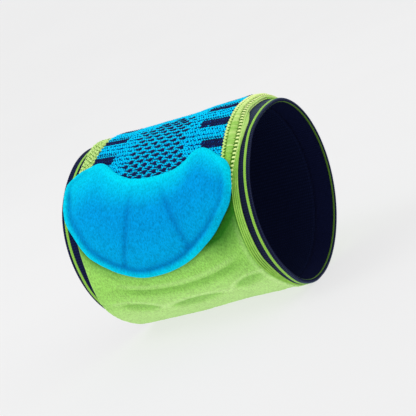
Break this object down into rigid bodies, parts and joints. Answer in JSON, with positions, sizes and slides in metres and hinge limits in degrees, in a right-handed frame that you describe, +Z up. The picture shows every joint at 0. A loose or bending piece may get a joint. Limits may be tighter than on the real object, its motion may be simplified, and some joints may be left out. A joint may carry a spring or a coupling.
{
  "type": "wrist strap",
  "caption": "Soft sports wrist strap closed into a sleeve: patterned knit top, padded loop-velour underside, elastic end bands and a half-moon hook tab that closes it.",
  "frame": {"origin": "on the floor, under the middle of the object's box", "axes": "+X along the sleeve towards the narrower opening, -Y towards the closing tab, +Z up"},
  "size_m": [0.0716, 0.0714, 0.0662],
  "materials": {
    "lining_navy": "fine matt navy knit",
    "elastic_navy": "ribbed navy elastic with a lime stripe",
    "knit_blue": "patterned cyan and navy knit",
    "knit_green": "light green ribbed knit with eyelets",
    "velour_green": "green loop velour with pressed ovals",
    "velour_blue": "blue short-pile velour"
  },
  "bodies": {
    "root": {"lining": "lining_navy", "edge_band_far": "elastic_navy", "edge_band_near": "elastic_navy", "knit_panel": "knit_blue", "knit_border_far": "knit_green", "knit_border_near": "knit_green", "velour_panel": "velour_green", "closure_tab": "velour_blue"}
  },
  "joints": []
}
